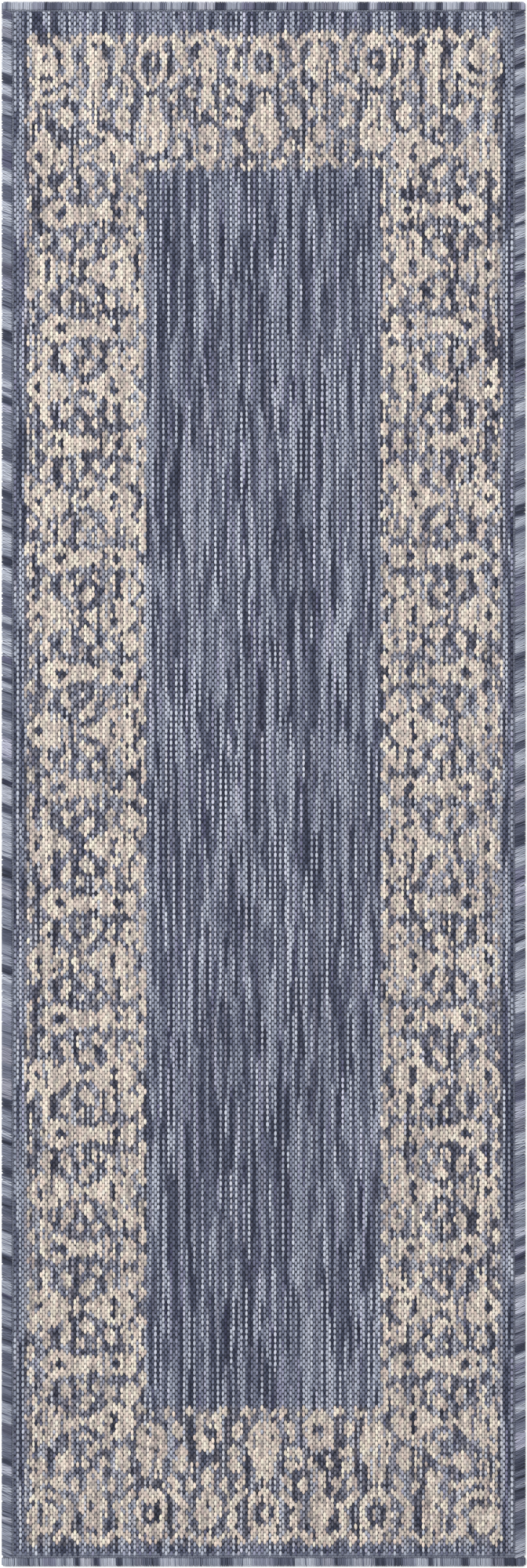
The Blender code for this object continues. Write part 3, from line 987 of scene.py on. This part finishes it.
# Hard twisted sewing thread is finer and glossier than the yarns.
THREAD = dict(
    fineness=1.6, twist=0.8, deepest=0.35, gloss=(0.38, 0.60), bump=0.5, bump_depth=0.08 * MM
)
side_thread_material = yarn_material("needle_thread_sides", (1500, 500, 1500), **THREAD)
end_thread_material = yarn_material("needle_thread_ends", (500, 1500, 1500), **THREAD)
for name, tone_level in THREAD_TONES.items():
    low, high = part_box(f"seam_thread_{name}")
    on_side = name in ("left", "right")
    axis = 1 if on_side else 0
    (across, along, up), faces, yarn, bake_map = stitch_row(low[axis], high[axis], tone_level)
    across = across + 0.5 * (low[1 - axis] + high[1 - axis])
    up = up + 0.5 * (low[2] + high[2])
    points = np.stack([across, along, up] if on_side else [along, across, up], axis=-1)
    faces = outward(faces) if on_side else faces
    material = side_thread_material if on_side else end_thread_material
    stitches = yarn_mesh(f"seam_stitches_{name}", material, points, faces, yarn, bake_map)
    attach(stitches, "root")
    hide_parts(f"seam_thread_{name}")

# ---------------------------------------------------------------------------------------------
# Studio: the rug lies on a plain pale floor under one large soft light and an even white room,
# and the camera looks straight down on it with the head at the top.
# ---------------------------------------------------------------------------------------------

FLOOR_SIZE = 60.0
FLOOR_HEIGHT = -0.4 * MM
LENS = 85.0
SENSOR = 36.0
VIEW_LENGTH = 1.8250  # of the floor seen along the rug, at the height of its face
ROOM_LIGHT = 0.72
SOFTBOX_POWER = 330.0
SOFTBOX_SIZE = (3.0, 4.0)
SOFTBOX_PLACE = (-1.6, 1.4, 5.2)

floor_corners = [(x * FLOOR_SIZE / 2, y * FLOOR_SIZE / 2, FLOOR_HEIGHT) for x, y in (
    (-1, -1), (1, -1), (1, 1), (-1, 1),
)]
floor_mesh = bpy.data.meshes.new("studio_floor")
floor_mesh.from_pydata(floor_corners, [], [(0, 1, 2, 3)])
floor = bpy.data.objects.new("studio_floor", floor_mesh)
bpy.context.scene.collection.objects.link(floor)
floor_material = bpy.data.materials.new("pale_floor_paint")
floor_material.use_nodes = True
floor_shader = floor_material.node_tree.nodes["Principled BSDF"]
floor_shader.inputs["Base Color"].default_value = (0.93, 0.93, 0.93, 1.0)
floor_shader.inputs["Roughness"].default_value = 0.9
floor_shader.inputs["Specular IOR Level"].default_value = 0.1
floor_mesh.materials.append(floor_material)

room = bpy.data.worlds.new("white_room")
room.use_nodes = True
room_white = room.node_tree.nodes["Background"]
room_white.inputs["Color"].default_value = (1.0, 1.0, 1.0, 1.0)
room_white.inputs["Strength"].default_value = ROOM_LIGHT
bpy.context.scene.world = room

softbox_light = bpy.data.lights.new("softbox", "AREA")
softbox_light.shape = "RECTANGLE"
softbox_light.size, softbox_light.size_y = SOFTBOX_SIZE
softbox_light.energy = SOFTBOX_POWER
softbox = bpy.data.objects.new("softbox", softbox_light)
softbox.location = SOFTBOX_PLACE
softbox.rotation_euler = (Vector((0, 0, 0)) - softbox.location).to_track_quat("-Z", "Y").to_euler()
bpy.context.scene.collection.objects.link(softbox)

camera_data = bpy.data.cameras.new("overhead_camera")
camera_data.lens = LENS
camera_data.sensor_width = SENSOR
camera = bpy.data.objects.new("overhead_camera", camera_data)
camera.location = (0.0, 0.0, FACE_TOP + VIEW_LENGTH * LENS / SENSOR)
bpy.context.scene.collection.objects.link(camera)
bpy.context.scene.camera = camera
bpy.context.scene.view_settings.view_transform = "Standard"
